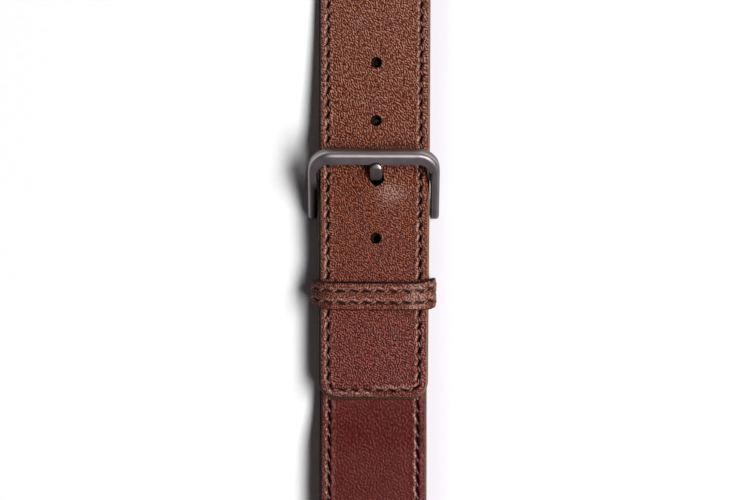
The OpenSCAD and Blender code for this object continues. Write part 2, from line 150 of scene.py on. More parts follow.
def meshPiece(name, points, faces, material, sharp=50, marks=None):
    mesh = bpy.data.meshes.new(name)
    mesh.from_pydata((np.asarray(points, float) * mm).tolist(), [], faces)
    addMarks(mesh, marks or {})
    work = bmesh.new()
    work.from_mesh(mesh)
    bmesh.ops.remove_doubles(work, verts=work.verts, dist=1e-7)
    bmesh.ops.dissolve_degenerate(work, edges=work.edges, dist=1e-8)
    bmesh.ops.recalc_face_normals(work, faces=work.faces)
    work.to_mesh(mesh)
    work.free()
    mesh.polygons.foreach_set("use_smooth", [True] * len(mesh.polygons))
    mesh.set_sharp_from_angle(angle=radians(sharp))
    mesh.materials.append(material)
    print(name, len(mesh.polygons), "faces")
    return addObject(name, mesh)


def settle(piece, body, slotName, *nodes):  # the body it moves with, its slot's name, which is not used, and the CAD nodes it stands for
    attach(piece, body)
    if nodes:
        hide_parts(*nodes)


# node helpers
def plug(tree, node, values):
    for key, value in values.items():
        if isinstance(value, bpy.types.NodeSocket):
            tree.links.new(value, node.inputs[key])
        else:
            node.inputs[key].default_value = value


def addNode(tree, kind, values=None, **settings):  # gives back its outputs
    node = tree.nodes.new(kind)
    for key, value in settings.items():
        setattr(node, key, value)
    plug(tree, node, values or {})
    return node.outputs


def sumOf(tree, operation, *values, clamp=False):
    return addNode(tree, "ShaderNodeMath", dict(enumerate(values)), operation=operation, use_clamp=clamp)[0]


def timesPlus(tree, value, times, plus, clamp=False):
    return sumOf(tree, "MULTIPLY_ADD", value, times, plus, clamp=clamp)


def rangeOf(tree, value, low, high, toLow=0.0, toHigh=1.0):
    return addNode(tree, "ShaderNodeMapRange", {0: value, 1: low, 2: high, 3: toLow, 4: toHigh},
                   interpolation_type="SMOOTHSTEP")[0]


def blendOf(tree, factor, a, b, mode="MIX"):
    return addNode(tree, "ShaderNodeMix", {0: factor, 6: a, 7: b}, data_type="RGBA", blend_type=mode)[2]


def rampOf(tree, value, stops):
    colour = addNode(tree, "ShaderNodeValToRGB", {0: value})[0]
    elements = colour.node.color_ramp.elements
    while len(elements) < len(stops):
        elements.new(0.5)
    for element, stop in zip(elements, stops):
        element.position, element.color = stop
    return colour


def noiseOf(tree, place, scale, detail=2.0, roughness=0.5):
    values = {"Vector": place, "Scale": scale, "Detail": detail, "Roughness": roughness}
    return addNode(tree, "ShaderNodeTexNoise", values)["Fac"]


def bumpOf(tree, height, strength, distance):
    return addNode(tree, "ShaderNodeBump", {"Height": height, "Strength": strength, "Distance": distance})[0]


def markOf(tree, name):
    return addNode(tree, "ShaderNodeAttribute", attribute_name=name)["Fac"]


def placeOf(tree, kind="Object"):
    return addNode(tree, "ShaderNodeTexCoord")[kind]


def partsOf(tree, vector):
    return addNode(tree, "ShaderNodeSeparateXYZ", {0: vector})


def vectorOf(tree, parts):
    return addNode(tree, "ShaderNodeCombineXYZ", parts)[0]


def tone(red, green, blue):  # a colour as a picture shows it, 0 to 255, made linear
    return tuple((c / 255 / 12.92) if c <= 10 else ((c / 255 + 0.055) / 1.055) ** 2.4
                 for c in (red, green, blue)) + (1.0,)


def newGroup(name, inputs, outputs, kind="ShaderNodeTree"):
    tree = bpy.data.node_groups.new(name, kind)
    for keys, way in ((inputs, "INPUT"), (outputs, "OUTPUT")):
        for key in keys:
            socket = key if key in ("Vector", "Geometry", "Material") else "Float"
            tree.interface.new_socket(key, in_out=way, socket_type="NodeSocket" + socket)
    return tree, tree.nodes.new("NodeGroupInput").outputs, tree.nodes.new("NodeGroupOutput")


def newMaterial(name):
    material = bpy.data.materials.new(name)
    material.use_nodes = True
    return material, material.node_tree, material.node_tree.nodes["Principled BSDF"]


def leatherGrainGroup():  # fine wrinkles across one another, mostly along one slant, with creases between
    tree, given, out = newGroup("leatherGrain", ["Vector", "Turn", "Fine", "Slant", "Lined"],
                                ["Height", "Crease", "Fleck"])
    across, along, up = partsOf(tree, given["Vector"])
    lean = sumOf(tree, "MULTIPLY", along, given["Turn"])
    side = timesPlus(tree, along, lean, across)  # the wrinkles lean over more further up the strap
    place = vectorOf(tree, {0: timesPlus(tree, up, 0.8, side), 1: timesPlus(tree, up, 0.8, along)})
    weave = {"Vector": place, "Scale": given["Fine"], "Frequency": 1.8, "Anisotropy": given["Lined"],
             "Orientation": given["Slant"]}
    lines = addNode(tree, "ShaderNodeTexGabor", weave, gabor_type="2D")["Value"]
    cells = addNode(tree, "ShaderNodeVectorMath", {0: place, 3: given["Fine"]}, operation="SCALE")[0]
    crease = addNode(tree, "ShaderNodeTexVoronoi", {"Vector": cells, "Scale": 1.6, "Randomness": 0.9},
                     voronoi_dimensions="2D", feature="DISTANCE_TO_EDGE")["Distance"]
    crease = rangeOf(tree, crease, 0.0, 0.2, 1.0, 0.0)
    fine = noiseOf(tree, place, 2300.0, roughness=0.6)
    height = timesPlus(tree, lines, 1.2, timesPlus(tree, crease, -0.35, 0.3))
    fleck = timesPlus(tree, sumOf(tree, "SUBTRACT", lines, 0.5), 1.8, 0.5)
    fleck = timesPlus(tree, sumOf(tree, "SUBTRACT", fine, 0.5), 1.5, fleck)
    plug(tree, out, {"Height": timesPlus(tree, fine, 1.1, height), "Crease": crease, "Fleck": fleck})
    return tree


grainGroup = leatherGrainGroup()


def leatherSkin(name, look):
    material, tree, shader = newMaterial(name)
    place = placeOf(tree)
    values = {key.capitalize(): look[key] for key in ("turn", "fine", "slant", "lined")}
    grain = addNode(tree, "ShaderNodeGroup", {"Vector": place, **values}, node_tree=grainGroup)
    mottle = noiseOf(tree, place, 330.0, 3.0)
    mark = timesPlus(tree, mottle, 0.10, grain["Fleck"])
    mark = timesPlus(tree, grain["Crease"], -0.12, sumOf(tree, "SUBTRACT", mark, look["darken"]))
    skin = rampOf(tree, mark, [(0.18, look["dark"]), (0.48, look["middle"]), (0.80, look["light"])])
    depth = rangeOf(tree, partsOf(tree, place)[1], -0.045, 0.035)
    skin = blendOf(tree, 1.0, skin, rampOf(tree, depth, look["along y"]), "MULTIPLY")
    paintedSheen, seamAndShade, coat = [markOf(tree, key) for key in ("paintedSheen", "seamAndShade", "edge")]
    # the sheen mark lays a painted highlight, broken up by the grain's flecks
    speckle = rangeOf(tree, grain["Fleck"], 0.38, 0.66, 0.16, 1.0)
    skin = blendOf(tree, sumOf(tree, "MULTIPLY", paintedSheen, speckle), skin, look["paintedSheen"])
    # the seam mark lays painted shade: near black in stitch grooves and slits, in holes and on shaded rims
    skin = blendOf(tree, seamAndShade, skin, look["seamAndShade"])
    paint = blendOf(tree, rangeOf(tree, mottle, 0.35, 0.65), look["edge"], look["edge light"])
    skin = blendOf(tree, coat, skin, paint)
    rough = rangeOf(tree, mottle, 0.3, 0.7, look["rough"] - 0.06, look["rough"] + 0.08)
    rough = timesPlus(tree, seamAndShade, 0.5, timesPlus(tree, coat, -0.06, rough), clamp=True)
    calm = timesPlus(tree, coat, -0.85, 1.0)
    normal = bumpOf(tree, sumOf(tree, "MULTIPLY", grain["Height"], calm), look["bump"], look["relief"])
    plug(tree, shader, {"Base Color": skin, "Roughness": rough, "Normal": normal,
                        "Specular IOR Level": look["gloss"]})
    return material


leatherLook = {"turn": 2.0, "fine": 1430.0, "slant": 0.62, "lined": 0.5, "darken": 0.05,
               "dark": tone(58, 9, 2), "middle": tone(104, 48, 31), "light": tone(180, 129, 106),
               "along y": [(0.0, (0.75, 0.49, 0.62, 1)), (0.25, (0.77, 0.53, 0.54, 1)),
                           (0.45, (0.80, 0.59, 0.50, 1)), (0.6, (0.81, 0.63, 0.52, 1)),
                           (0.8, (0.95, 0.87, 0.83, 1)), (1.0, (1, 0.99, 0.98, 1))],
               # a near-black tone for painted shade, then a pale pink tone for painted sheen, then the edge
               # paint
               "seamAndShade": tone(14, 5, 4), "paintedSheen": tone(212, 168, 154), "edge": tone(92, 64, 48),
               "edge light": tone(112, 84, 66), "rough": 0.40, "bump": 1.0, "relief": 0.00006, "gloss": 0.12}
redLook = {**leatherLook, "fine": 1150.0, "lined": 0.55, "relief": 0.00003,
           "dark": tone(71, 20, 16), "middle": tone(90, 29, 25), "light": tone(115, 55, 48),
           "edge": tone(60, 36, 30), "edge light": tone(76, 48, 40),
           "along y": [(0.0, (0.96, 0.96, 0.96, 1)), (1.0, (1.05, 1.05, 1.05, 1))]}
keeperSkin = {**leatherLook, "turn": 0.0, "lined": 0.3, "dark": tone(66, 16, 8), "light": tone(168, 116, 98),
              # the keeper's near-black edge paint is painted shade, standing for its contact shadow
              "edge": tone(26, 10, 9), "edge light": tone(44, 20, 16),
              "along y": [(0.0, (0.93, 0.78, 0.72, 1)), (1.0, (1, 1, 1, 1))]}
liningLook = {**leatherLook, "turn": 0.0, "fine": 700.0, "lined": 0.1, "dark": tone(108, 78, 56),
              # the lining's painted shade is dark brown
              "middle": tone(139, 104, 76), "light": tone(164, 130, 100), "seamAndShade": tone(30, 17, 11),
              "along y": [(0.0, (1, 1, 1, 1)), (1.0, (1, 1, 1, 1))],
              "rough": 0.62, "bump": 0.7, "relief": 0.00008, "gloss": 0.3}
fillerLook = {**leatherLook, "fine": 500.0, "lined": 0.4, "dark": tone(70, 48, 38),
              "middle": tone(92, 66, 52), "light": tone(110, 84, 68),
              "rough": 0.7, "bump": 0.5, "relief": 0.00008, "gloss": 0.2}
leather = leatherSkin("tanLeather", leatherLook)
redLeather = leatherSkin("redLeather", redLook)
keeperLeather = leatherSkin("keeperLeather", keeperSkin)
liningLeather = leatherSkin("liningLeather", liningLook)
fillerBoard = leatherSkin("fillerBoard", fillerLook)
print("leather materials ready")

# the straps' leather layers; a lip beside a seam has its place, width, height and least share; the last lip
# is a painted highlight on the side where the groove's wall faces the lamp
seamLook = dict(inset=1.70, pitch=2.16, width=0.16, depth=0.34, slit=0.24, slitLength=0.62, weave=0.15,
                puff=(-0.48, 0.26, 0.27, 0.35), scallop=(0.50, 0.28, 0.24, 0.3), rubbedAndHighlit=(0.42, 0.26, 1, 0.25))
# a painted side, its swelling, the surface's unevenness, the strength of the painted sheen, and the rims'
# painted shade as inset, run and strength; the left side's strip gets a painted sheen too
layerLook = dict(painted=0.52, paintRun=0.16, swell=0.04, swellRun=0.5, ripple=0.035, paintedSheen=0.85,
                 tipShade=(0.44, 0.16, 0.8), rimShade=(0.74, 0.38, 0.85), strip=0.12, stripIn=1.5)
# where the tail climbs over the tongue: the swelling, and a spot of painted sheen beside it
bulgeLook = dict(x=0.9, y=4.3, wide=3.4, long=3.0, high=0.42, paintedSheen=0.5, sheenX=3.0, sheenY=3.3, sheenWide=2.3,
                 sheenLong=1.5)
# rows of a punched hole: share of the way out to the net, distance out of the rim, rise
holeRim = [(0.62, 0.0, 0.0), (0.34, 0.0, 0.02), (0.0, 0.30, 0.035), (0.0, 0.17, 0.02), (0.0, 0.07, -0.04),
           (0.0, 0.02, -0.12), (0.0, 0.0, -0.24)]
holeFoot = [(0.5, 0.0, 0.0), (0.0, 0.0, 0.0)]
holeInset = 9.0  # the inset given to a hole's points, which lie far from any edge


def zigzag(phase):  # rises through each stitch and falls through the slit between two stitches
    return 1 - 4 * np.abs((phase + 0.25) % 1 - 0.5)


def seamRelief(d, s, on, hand, inset, pitch):
    phase = s / pitch
    slit = bell((phase % 1 - 0.5) * pitch / seamLook["slitLength"])
    away = d - (inset + hand * seamLook["weave"] * zigzag(phase))
    groove = bell(away / (seamLook["width"] * (1 + 0.25 * slit)))

    def lip(key, side=1):
        place, width, high, least = seamLook[key]
        return high * bell((away - side * place) / width) * (least + (1 - least) * slit)

    relief = lip("puff") + lip("scallop") - groove * (seamLook["depth"] + seamLook["slit"] * slit)
    # the groove mask is painted shade in the groove and slits; the third value is a painted highlight on the
    # lip whose groove wall faces the lamp
    return on * relief, on * groove * (0.80 + 0.20 * slit), on * np.clip(lip("rubbedAndHighlit", hand), 0, 1)


def alongWay(spots):
    return np.concatenate([[0], np.cumsum(np.linalg.norm(np.diff(spots, axis=0), axis=1))])


def line(y, z):
    return np.stack([y, z], 1)


def layerTrack(way, outer, inner, half, seamAndShade):
    return dict(way=way, outer=outer, inner=inner, half=half, seamAndShade=seamAndShade, run=alongWay(outer))


def sheetTrack(y, above, heights, half, seamAndShade=0.0, way=None):  # a sheet between two heights of the stack
    outer, inner = [line(y, above(y, high)) for high in heights]
    return layerTrack(alongWay(outer) if way is None else way, outer, inner, half(y), np.full(len(y), seamAndShade))


def alongTrack(track, w, tip=None):
    spots = []
    for side in ("outer", "inner"):
        spot = line(*[np.interp(w, track["way"], track[side][:, k]) for k in (0, 1)])
        if tip:  # beyond the first row the tail lies level, and its way is counted by y
            spot[:, 0] = np.where(w < track["way"][0], w, spot[:, 0])
        spots.append(spot)
    return spots


def layerNet(track, profile, columns, tip, openings):  # x, way, level, inset, seam run and dip; and faces
    way, half, count = track["way"], track["half"], len(track["way"])
    deepest = profile[0][0]
    across = np.linspace(-1, 1, columns + 1)
    corner, tipEnd = (tip["corner"], tip["end"]) if tip else (0, -np.inf)
    flat, bend = half[0] - corner, corner - seamLook["inset"]
    runs = track["run"] + (flat + pi / 2 * bend if tip else 0)
    cells, faces = [], []

    def addGrid(level):
        first = len(cells)
        for i in range(count):
            for x in across * (half[i] - deepest):
                cells.append((x, way[i], level, min(half[i] - abs(x), way[i] - tipEnd), runs[i], 0))
        return lambda i, j: first + i * (columns + 1) + j

    def addFace(*corners):  # neighbours may fall together
        face = list(dict.fromkeys(corners))
        if len(face) > 2:
            faces.append(face)

    def borderSpot(kind, side, v, d):
        if kind == "side":
            return side * (half[v] - d), way[v], runs[v]
        if kind == "tip":
            return across[v] * flat, tipEnd + d, abs(across[v] * flat)
        r = corner - d
        return side * (flat + r * cos(v)), tipEnd + corner - r * sin(v), flat + (pi / 2 - v) * bend

    def gridRing(at):
        return [at(v if kind == "side" else 0, v if kind == "tip" else columns * (side > 0))
                for kind, side, v in stations]

    stations = [("side", -1, i) for i in range(count - 1, -1, -1)]
    if tip:
        turns = np.linspace(0, pi / 2, tip["steps"] + 1)[1:-1]
        stations += [("turn", -1, a) for a in turns] + [("tip", 0, j) for j in range(columns + 1)]
        stations += [("turn", 1, a) for a in turns[::-1]]
    gap = -1 if tip else len(stations) - 1
    stations += [("side", 1, i) for i in range(count)]
    topAt = addGrid(1.0)
    rings = [gridRing(topAt)]
    for d, level in profile[1:-1]:
        rings.append(range(len(cells), len(cells) + len(stations)))
        for kind, side, v in stations:
            x, w, run = borderSpot(kind, side, v, d)
            cells.append((x, w, level, d, run, 0))
    lowAt = addGrid(0.0)
    rings.append(gridRing(lowAt))
    for one, two in zip(rings[:-1], rings[1:]):
        for m in range(len(stations) - 1):
            if m != gap:
                addFace(one[m], one[m + 1], two[m + 1], two[m])
    holes = []
    for opening in openings:
        i0, i1 = np.searchsorted(way, opening["way"])
        holes.append((i0, i1, *np.searchsorted(across * (half[i0] - deepest), opening["x"]), opening))
    for at in (topAt, lowAt):
        for i in range(count - 1):
            for j in range(columns):
                if not any(i0 <= i < i1 and j0 <= j < j1 for i0, i1, j0, j1, _ in holes):
                    faces.append([at(i, j), at(i, j + 1), at(i + 1, j + 1), at(i + 1, j)])
    for i0, i1, j0, j1, opening in holes:
        loop = ([(i0, j) for j in range(j0, j1)] + [(i, j1) for i in range(i0, i1)]
                + [(i1, j) for j in range(j1, j0, -1)] + [(i, j0) for i in range(i1, i0, -1)])
        mouths = []
        for at, level, mouth, steps in ((topAt, 1.0, opening["outer"], holeRim),
                                        (lowAt, 0.0, opening["inner"], holeFoot)):
            ring = [at(i, j) for i, j in loop]
            spots = np.array([cells[b][:2] for b in ring])
            middle = np.array([mouth["x"], mouth["way"]])
            rays = np.arctan2(*((spots - middle) / mouth["half"]).T[::-1])
            power = np.where(np.sin(rays) < 0, mouth["lowPower"], mouth["power"])
            edge = (np.abs(np.cos(rays)) ** power + np.abs(np.sin(rays)) ** power) ** (-1 / power)
            rim = middle + mouth["half"] * edge[:, None] * line(np.cos(rays), np.sin(rays))
            for share, away, rise in steps:
                row = range(len(cells), len(cells) + len(loop))
                for x, w in rim * (1 - share) + spots * share + unit(rim - middle) * away * (1 - share):
                    cells.append((x, w, level, holeInset, 0.0, rise))
                faces.extend(ringFaces(ring, row))
                ring = row
            mouths.append(ring)
        faces.extend(ringFaces(*mouths))
    for i in [count - 1] if tip else [count - 1, 0]:  # the sheet's cut ends
        for j in range(columns):
            faces.append([topAt(i, j), topAt(i, j + 1), lowAt(i, j + 1), lowAt(i, j)])
        for m in ((0, len(stations) - 1) if i else (gap, gap + 1)):
            chain = [ring[m] for ring in rings]
            for k in range(len(chain) // 2):
                addFace(chain[k], chain[k + 1], chain[-2 - k], chain[-1 - k])
    return np.array(cells).T, faces


def strapLayer(name, material, nodeName, slotName, track, profile, columns, tip=None, openings=(), crown=0.0,
               seed=0.0, bulge=None, strip=0.0):
    (x, w, level, inset, run, dip), faces = layerNet(track, profile, columns, tip, openings)
    left, upper = x < 0, level > 0.99
    half = np.interp(w, track["way"], track["half"])
    on, hand = np.interp(w, track["way"], track["seamAndShade"]), np.where(left, -1, 1)
    relief, seamAndShade, paintedSheen = seamRelief(inset, run, on, hand, seamLook["inset"], seamLook["pitch"])
    lift = relief * level * smooth((inset - 0.25) / 0.5) + dip
    lift += crown * np.clip(1 - (x / (half - 2)) ** 2, 0, 1) * upper
    lift += layerLook["ripple"] * ripple(x, w, seed) * upper * smooth((inset - 0.3) / 1.5)
    if bulge:
        far = ((x - bulge["x"]) / bulge["wide"]) ** 2 + ((w - bulge["y"]) / bulge["long"]) ** 2
        near = ((x - bulge["sheenX"]) / bulge["sheenWide"]) ** 2 + ((w - bulge["sheenY"]) / bulge["sheenLong"]) ** 2
        lift += bulge["high"] * np.exp(-far) * upper
        # a painted sheen beside the swelling
        paintedSheen = np.maximum(paintedSheen, bulge["paintedSheen"] * np.exp(-near))
    # a painted sheen on the left side's strip outside the seam
    paintedSheen = np.maximum(paintedSheen, strip * left * smooth((layerLook["stripIn"] - inset) / 0.3))
    gloom = np.zeros(len(x))
    if tip:  # the tail's end face lies in its own shade
        deep, fade, reach = layerLook["tipShade"]
        gloom = smooth((deep - inset) / fade) * bell((w - tip["end"] - inset) / reach)
    if strip:  # and so does the rim of the left side
        deep, fade, strong = layerLook["rimShade"]
        gloom = np.maximum(gloom, strong * left * smooth((deep - inset) / fade) * (level > 0.25))
    outer, inner = alongTrack(track, w, tip)
    spot = inner + (outer - inner) * level[:, None] + unit(outer - inner) * lift[:, None]
    wide = x + np.sign(x) * layerLook["swell"] * bell(inset / layerLook["swellRun"]) * np.sin(np.pi * level)
    points = np.stack([wide, spot[:, 0] - middleY, np.maximum(spot[:, 1], 0)], 1)
    edge = smooth((layerLook["painted"] - inset) / layerLook["paintRun"])
    bored = (dip < -0.03) | ((inset > holeInset - 0.1) & (level == 0))  # holes' walls and hidden rims, painted dark as shade
    marks = dict(seamAndShade=np.maximum(np.maximum(seamAndShade * (level > 0.5), bored), gloom), edge=edge * (1 - gloom),
                 paintedSheen=layerLook["paintedSheen"] * paintedSheen * (level > 0.9))
    piece = meshPiece(name, points, faces, material, marks=marks)
    settle(piece, "strap", slotName, nodeName)


# a layer's side, from its upper face round to its lower one: inset, level between the faces
topRows = [(d, 1.0) for d in (3.2, 2.9, 2.65, 2.45, 2.28, 2.12, 2, 1.9, 1.8, 1.7, 1.6, 1.5, 1.38, 1.24, 1.1)]
lowRows = [(1.2, 0.0), (2.2, 0.0), (3.2, 0.0)]
upperProfile = [*topRows, (0.94, 1.0), (0.78, 1.0), (0.64, 1.0), (0.55, 0.995), (0.49, 0.975), (0.445, 0.94),
                (0.41, 0.89), (0.385, 0.82), (0.365, 0.73), (0.35, 0.62), (0.335, 0.51), (0.32, 0.40),
                (0.305, 0.29), (0.29, 0.18), (0.28, 0.09), (0.28, 0.03), (0.32, 0.0), (0.7, 0.0), *lowRows]
liningProfile = [*topRows, (0.9, 1.0), (0.5, 1.0), (0.33, 0.99), (0.26, 0.95), (0.22, 0.88), (0.18, 0.76),
                 (0.15, 0.62), (0.12, 0.48), (0.09, 0.34), (0.06, 0.2), (0.05, 0.1), (0.10, 0.0), (0.5, 0.0),
                 *lowRows]
plainProfile = [(3.2, 1.0), (0.3, 1.0), (0.1, 0.97), (0.06, 0.8), (0.06, 0.2), (0.1, 0.03), (0.3, 0.0),
                (3.2, 0.0)]


def spaced(start, end, step):
    return np.linspace(start, end, max(2, int(round(abs(end - start) / step)) + 1))


def loopArc(cy, cz, radius, fromDeg, toDeg):
    a = np.radians(np.linspace(fromDeg, toDeg, arcSteps + 1))[1:-1]
    return line(cy + radius * np.cos(a), cz + radius * np.sin(a))


# the buckle in its own tilted plane: u runs from its bar to the outer bar, v stands square to the plane
buckle = dict(tilt=33.8696, opening=10.33, bar=2.2, thick=2.2, armIn=9.80, armOut=11.38, cornerOut=3.9,
              cornerIn=2.2, fillet=0.68, endPinch=0.3, pivotHole=0.435, notchFloor=0.4, notchGap=0.27,
              taper=0.17, taperFrom=5, taperRun=3)
tongue = dict(wide=2.16, thick=1.1, start=0.9, tip=10.66, bend=5.5, rise=1.0, eyeOut=1.36, eyeIn=0.81,
              over=0.4, under=0.3, sideGap=0.12, slotShift=0.1, side=0.42, top=0.55)
tiltCos, tiltSin = cos(radians(buckle["tilt"])), sin(radians(buckle["tilt"]))


def inBuckle(x, u, v):  # from the buckle's plane to the row frame, in millimetres
    return (x, u * tiltCos - v * tiltSin - middleY, barZ + u * tiltSin + v * tiltCos)


def tongueLine(u):
    return between(u, tongue["bend"], 0, buckle["opening"], tongue["rise"])


def slotPlace(layers, rise, offset):  # where the slot's slanted face meets a surface of the leather
    u = np.linspace(2, 14, 2400)
    x, y, z = inBuckle(0, u, tongueLine(u) + offset)
    y = y + middleY
    return float(y[np.argmax(z > longAbove(y, layers) + rise)])


def slotMouth(layers, rise=0.0):
    low = slotPlace(layers, rise, tongue["thick"] / 2 + tongue["over"])
    high = slotPlace(layers, rise, -tongue["thick"] / 2 - tongue["under"])
    return dict(x=holeSide + tongue["slotShift"], way=(low + high) / 2, power=4, lowPower=1.3,
                half=(tongue["wide"] / 2 + tongue["sideGap"], (high - low) / 2))


def roundHole(y, top, low, reach=1.9):
    outer, inner = [dict(x=holeSide, way=y, half=(r, r), power=2, lowPower=2) for r in (top, low)]
    return dict(way=(y - reach, y + reach), x=(holeSide - reach, holeSide + reach), outer=outer, inner=inner)


def longOpenings(slot, holeTop, holeLow):  # the tongue's slot and the free holes
    ends = [mouth["way"] + side * mouth["half"][1] for mouth in slot.values() for side in (-1, 1)]
    slot.update(way=(min(ends) - 0.9, max(ends) + 0.9), x=(holeSide - 2.4, holeSide + 2.4))
    places = [form["firstHole"] + n * form["holePitch"] for n in (-1, 1, 2)]
    return [slot] + [roundHole(y, holeTop, holeLow) for y in places]


rowStep, flapStep, padStep, liningStep, arcSteps = 0.27, 0.5, 0.6, 0.27 * 1.4, 22
seamStop, flapSeam, fadeRun = 3.2, 3.6, 0.6  # how far short of the loop and the fold a seam ends
tipLook = dict(corner=form["tipCorner"], steps=10, end=tailEnd)
firstRow = tailEnd + form["tipCorner"]

# long upper: out along the top, round the lug bar and back below it
runY = spaced(firstRow, lugEnd, rowStep)
flapY = spaced(lugEnd, lugEnd - turnIn, flapStep)
outer, inner = [np.vstack([line(runY, longAbove(runY, layers + longPad(runY))),
                           loopArc(lugEnd, lugLoop, radius, 90, -90), line(flapY, flap)])
                for layers, radius, flap in (
                    (thin, lugLoop, longLow(flapY)),
                    (lining, lugBore, between(flapY, lugEnd - 2, lining, lugEnd, lugLoop - lugBore)))]
way = np.concatenate([runY, lugEnd + alongWay(outer[len(runY) - 1:])[1:]])
seamOn = np.where(way < lugEnd - seamStop, smooth((lugEnd - seamStop - way) / fadeRun), 0)
seamOn = np.where(way > way[-1] - turnIn + flapSeam, 1.0, seamOn)
trackLong = layerTrack(way, outer, inner, longHalf(np.minimum(way, lugEnd)), seamOn)
slot = dict(outer=slotMouth(thin, 0.3), inner=slotMouth(lining))
strapLayer("longUpper", leather, "long_upper", "upper_leather", trackLong, upperProfile, 34, tip=tipLook,
           openings=longOpenings(slot, 0.86, 0.76), crown=0.16, seed=1.0, bulge=bulgeLook,
           strip=layerLook["strip"])

runY = spaced(firstRow, lugEnd - turnIn, liningStep)
slot = dict(outer=slotMouth(0), inner=slotMouth(lining))
strapLayer("longLining", liningLeather, "long_lining", "lining_leather",
           sheetTrack(runY, longAbove, (0, lining), longHalf, 0.55, runY), liningProfile, 30, tip=tipLook,
           openings=longOpenings(slot, 0.36, 0.68), seed=2.0)

runY = spaced(lugEnd - 0.9 * form["padRun"], lugEnd - lugLoop - 0.1, padStep)
strapLayer("longFiller", fillerBoard, "long_filler", "filler_board",
           sheetTrack(runY, longAbove, (lining + longPad(runY), lining), longHalf, way=runY), plainProfile, 6)

# short upper: a flap under the buckle bar, round it, along the top, round the lug bar and a flap below
flapA = spaced(-turnIn, 0, 0.4)
runY = spaced(0, shortEnd, rowStep)
flapB = spaced(shortEnd, shortEnd + turnIn, flapStep)
outer, inner = [np.vstack([line(flapA, nearBar), loopArc(0, barZ, barRadius, -90, 90),
                           line(runY, shortAbove(runY, layers + shortPad(runY))),
                           loopArc(shortEnd, lugLoop, lugRadius, 90, 270), line(flapB, nearLug)])
                for layers, barRadius, lugRadius, nearBar, nearLug in (
                    (thin, barLoop, lugLoop, shortLow(flapA), shortLow(flapB)),
                    (lining, barBore, lugBore, between(flapA, -2, form["lift"] + lining, 0, barZ - barBore),
                     between(flapB, shortEnd, lugLoop - lugBore, shortEnd + 2, lining)))]
way = alongWay(outer)
barStart, topStart = way[len(flapA) - 1], way[len(flapA) + arcSteps - 2]
topEnd = way[len(flapA) + arcSteps - 2 + len(runY)]
seamOn = smooth((way - topStart - seamStop) / fadeRun) * smooth((topEnd - seamStop - 0.2 - way) / fadeRun)
seamOn = np.maximum(seamOn, (way < turnIn - flapSeam) | (way > way[-1] - turnIn + flapSeam))
barWay = (barStart + topStart) / 2
eyeMouth = dict(x=holeSide, way=barWay, half=(1.53, (topStart - barStart) / 2 + 1.96), power=9, lowPower=9)
eyeSlot = dict(way=(barWay - eyeMouth["half"][1] - 1, barWay + eyeMouth["half"][1] + 1),
               x=(holeSide - 2.7, holeSide + 2.7), outer=eyeMouth, inner=eyeMouth)
trackShort = layerTrack(way, outer, inner, shortHalf(np.minimum(outer[:, 0], 0)), seamOn)
strapLayer("shortUpper", redLeather, "short_upper", "upper_leather_dark", trackShort, upperProfile, 30,
           openings=[eyeSlot], crown=0.10, seed=3.0, strip=layerLook["strip"])

runY = spaced(shortEnd + turnIn, -turnIn, liningStep)
strapLayer("shortLining", liningLeather, "short_lining", "lining_leather",
           sheetTrack(runY, shortAbove, (0, lining), shortHalf, 0.55), liningProfile, 30, seed=4.0)

runY = spaced(shortEnd + lugLoop + 0.1, -barLoop - 0.1, padStep)
strapLayer("shortFiller", fillerBoard, "short_filler", "filler_board",
           sheetTrack(runY, shortAbove, (lining + shortPad(runY), lining), shortHalf), plainProfile, 6)
print("strap leather ready")

# the keeper
keeper = dict(place=-14.51, wide=4.89, inner=9.8, low=1.0, high=5.9, corner=0.3, draw=1.8, outer=0.6,
              lining=0.4, bow=0.66, pinch=0.08, flare=0.19, shoulder=0.17, droop=0.30, seamInset=(1.35, 1.55),
              pitch=2.26, relief=0.8, paintedSheen=0.6, leftShade=0.55, rightShade=0.16, cornerShade=0.9,
              roomAbove=0.24, roomBelow=0.16, rim=(0.26, 0.40), topSteps=92, sideSteps=14, cornerSteps=9)
keeperOut = keeper["lining"] + keeper["outer"]


def keeperLoop(out):  # x, z, outward x, outward z round a rounded box
    x, low, high = keeper["inner"] + out, keeper["low"] - out, keeper["high"] + out
    r = keeper["corner"] + keeper["draw"] * out
    tops = np.linspace(x - r, r - x, keeper["topSteps"])[1:-1]
    sides = np.linspace(high - r, low + r, keeper["sideSteps"])[1:-1]
    runs = ([(x2, high, 0, 1) for x2 in tops], [(-x, z2, -1, 0) for z2 in sides],
            [(-x2, low, 0, -1) for x2 in tops], [(x, z2, 1, 0) for z2 in sides[::-1]])
    spots = []
    for k, (cx, cz) in enumerate(((x - r, high - r), (r - x, high - r), (r - x, low + r), (x - r, low + r))):
        for a in np.radians(np.linspace(90 * k, 90 * k + 90, keeper["cornerSteps"] + 1)):
            spots.append((cx + r * cos(a), cz + r * sin(a), cos(a), sin(a)))
        spots += runs[k]
    return np.array(spots)


def keeperRun(loop):  # length round the loop, from the middle of its top and towards +x
    run = alongWay(np.vstack([loop, loop[:1]])[:, :2])
    top = np.where(loop[:, 3] > 0.99)[0]
    middle = np.interp(0, loop[top, 0][::-1], run[top][::-1])  # the loop's points run from +x to -x there
    return middle - run[:-1]


def keeperY(x, y):  # bowed towards the buckle, and drawn in where it bends down over the strap's sides
    turn = np.clip((np.abs(x) - 6.9) / 3.8, 0, 1)
    spread = np.where(x > 0, keeper["flare"], -keeper["pinch"]) * turn ** 3
    spread -= keeper["shoulder"] * np.clip((np.abs(x) - 9.5) / 1.3, 0, 1) ** 2  # its shoulders are round
    return keeper["place"] + y * (1 + spread) + keeper["bow"] * turn ** 2 - middleY


def keeperZ(x, z):  # its top sinks a little towards both ends
    return z - keeper["droop"] * np.clip((np.abs(x) - 4.5) / 5.5, 0, 1) ** 2 * smooth((z - 4.5) / 1.2)


